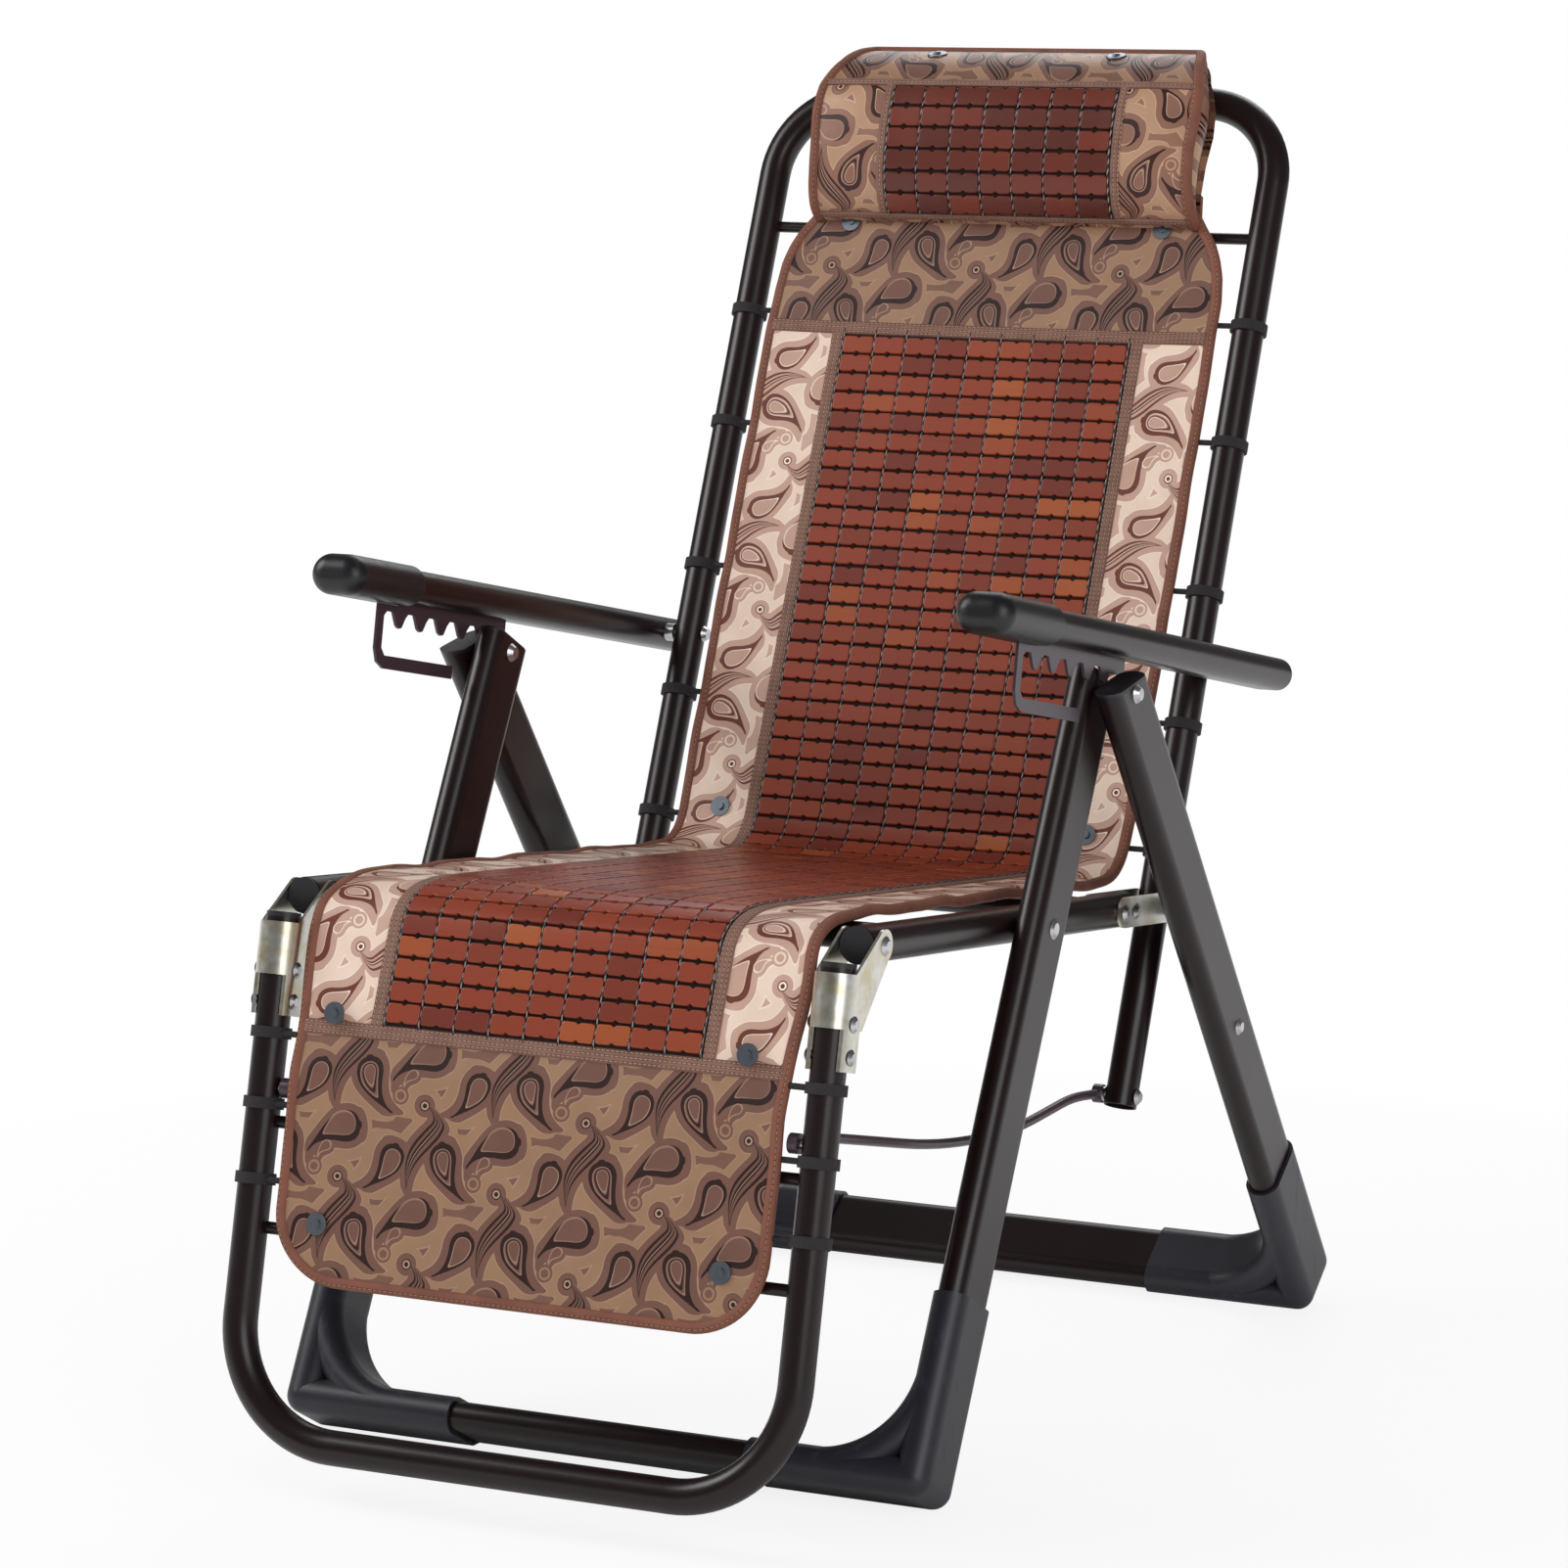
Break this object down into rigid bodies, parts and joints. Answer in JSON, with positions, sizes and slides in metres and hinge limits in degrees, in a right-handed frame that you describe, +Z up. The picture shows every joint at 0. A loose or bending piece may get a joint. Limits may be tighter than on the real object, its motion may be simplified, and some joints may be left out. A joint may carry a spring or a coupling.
{
  "type": "zero gravity chair",
  "caption": "Folding reclining lounge chair with a tube frame, toothed armrest racks, leg rest, head pillow and a tiled hanging mat.",
  "frame": {"origin": "on the floor under the middle of the chair's bounding box", "axes": "+Z up, the chair faces -Y, +X is the sitter's left side seen in the picture at the right"},
  "size_m": [0.6416, 1.0302, 1.1097],
  "materials": {
    "frame_tube": "gloss",
    "thin_rod": "satin",
    "rack_paint": "satin",
    "zinc": "satin",
    "bolt_steel": "polished",
    "snap_steel": "polished",
    "nylon": "matte",
    "shoe_plastic": "satin",
    "grip_plastic": "satin",
    "cap_plastic": "satin",
    "lace": "matte",
    "mat": "matte",
    "pillow": "matte"
  },
  "bodies": {
    "seat": {"seat_rail_right": "frame_tube", "seat_rail_left": "frame_tube", "back_hinge_plates": "zinc", "hinge_rivets": "bolt_steel", "back_hinge_bolts": "bolt_steel", "seat_pivot_bolts": "bolt_steel", "pivot_washers": "nylon", "seat_cross_tube_front": "frame_tube", "seat_cross_tube_rear": "frame_tube", "rail_end_plugs": "cap_plastic", "seat_mat": "mat", "knee_pins": "bolt_steel"},
    "back": {"back_tube": "frame_tube", "head_bar": "thin_rod", "back_mat": "mat", "back_lacing": "lace", "head_pillow": "pillow", "back_snaps": "snap_steel"},
    "leg_rest": {"leg_rest_tube": "frame_tube", "leg_rest_bar_upper": "thin_rod", "leg_rest_bar_lower": "thin_rod", "leg_mat": "mat", "leg_lacing": "lace", "leg_snaps": "snap_steel", "leg_rest_plugs": "cap_plastic", "knee_bracket_right": "zinc", "knee_bracket_left": "zinc", "knee_rivets": "bolt_steel", "rod_lugs": "thin_rod"},
    "link_rods": {"link_rod_right": "thin_rod", "link_rod_left": "thin_rod", "rod_pins": "bolt_steel"},
    "front_legs": {"front_leg_frame": "frame_tube", "front_leg_caps": "cap_plastic", "front_shoe_right": "shoe_plastic", "front_shoe_left": "shoe_plastic", "apex_bolts": "bolt_steel"},
    "rear_legs": {"rear_leg_frame": "frame_tube", "rear_leg_caps": "cap_plastic", "rear_shoe_right": "shoe_plastic", "rear_shoe_left": "shoe_plastic", "link_bolts": "bolt_steel"},
    "side_links": {"side_link_right": "zinc", "side_link_left": "zinc"},
    "arm_carrier": {"arm_bolts": "bolt_steel"},
    "armrests": {"armrest_tube_right": "frame_tube", "armrest_tube_left": "frame_tube", "armrest_grip_right": "grip_plastic", "armrest_grip_left": "grip_plastic", "armrest_tail_caps": "cap_plastic", "armrest_rack_right": "rack_paint", "armrest_rack_left": "rack_paint"}
  },
  "joints": [
    {"name": "recline", "type": "hinge", "parent": "seat", "child": "back", "pos_m": [0, 0.21404, 0.39469], "axis": [-1, 0, 0], "range_deg": [0, 47]},
    {"name": "leg_rest_lift", "type": "hinge", "parent": "seat", "child": "leg_rest", "pos_m": [0, -0.36109, 0.45615], "axis": [-1, 0, 0], "range_deg": [0, 61.2]},
    {"name": "rod_turn", "type": "hinge", "parent": "back", "child": "link_rods", "pos_m": [0, 0.14813, 0.24016], "axis": [-1, 0, 0], "range_deg": [-42.76, 0]},
    {"name": "leg_fold", "type": "hinge", "parent": "seat", "child": "front_legs", "pos_m": [0, -0.09699, 0.42793], "axis": [1, 0, 0], "range_deg": [0, 75]},
    {"name": "rear_leg_fold", "type": "hinge", "parent": "front_legs", "child": "rear_legs", "pos_m": [0, 0.00078, 0.608], "axis": [1, 0, 0], "range_deg": [-48.09, 0]},
    {"name": "side_link_fold", "type": "hinge", "parent": "seat", "child": "side_links", "pos_m": [0, 0.21404, 0.39469], "axis": [1, 0, 0], "range_deg": [-100.43, 0]},
    {"name": "arm_swing", "type": "hinge", "parent": "back", "child": "arm_carrier", "pos_m": [0, 0.29816, 0.5919], "axis": [-1, 0, 0], "range_deg": [-34.06, 0]},
    {"name": "arm_lift", "type": "hinge", "parent": "arm_carrier", "child": "armrests", "pos_m": [0, 0.29816, 0.5919], "axis": [1, 0, 0], "range_deg": [-41.26, 0]}
  ],
  "couplings": [
    {"joint": "leg_rest_lift", "follows": "recline", "ratio": 1.302},
    {"joint": "rod_turn", "follows": "recline", "ratio": -0.90957},
    {"joint": "rear_leg_fold", "follows": "leg_fold", "ratio": -0.64113},
    {"joint": "side_link_fold", "follows": "leg_fold", "ratio": -1.339},
    {"joint": "arm_swing", "follows": "recline", "ratio": -0.72451},
    {"joint": "arm_lift", "follows": "leg_fold", "ratio": -0.55}
  ]
}
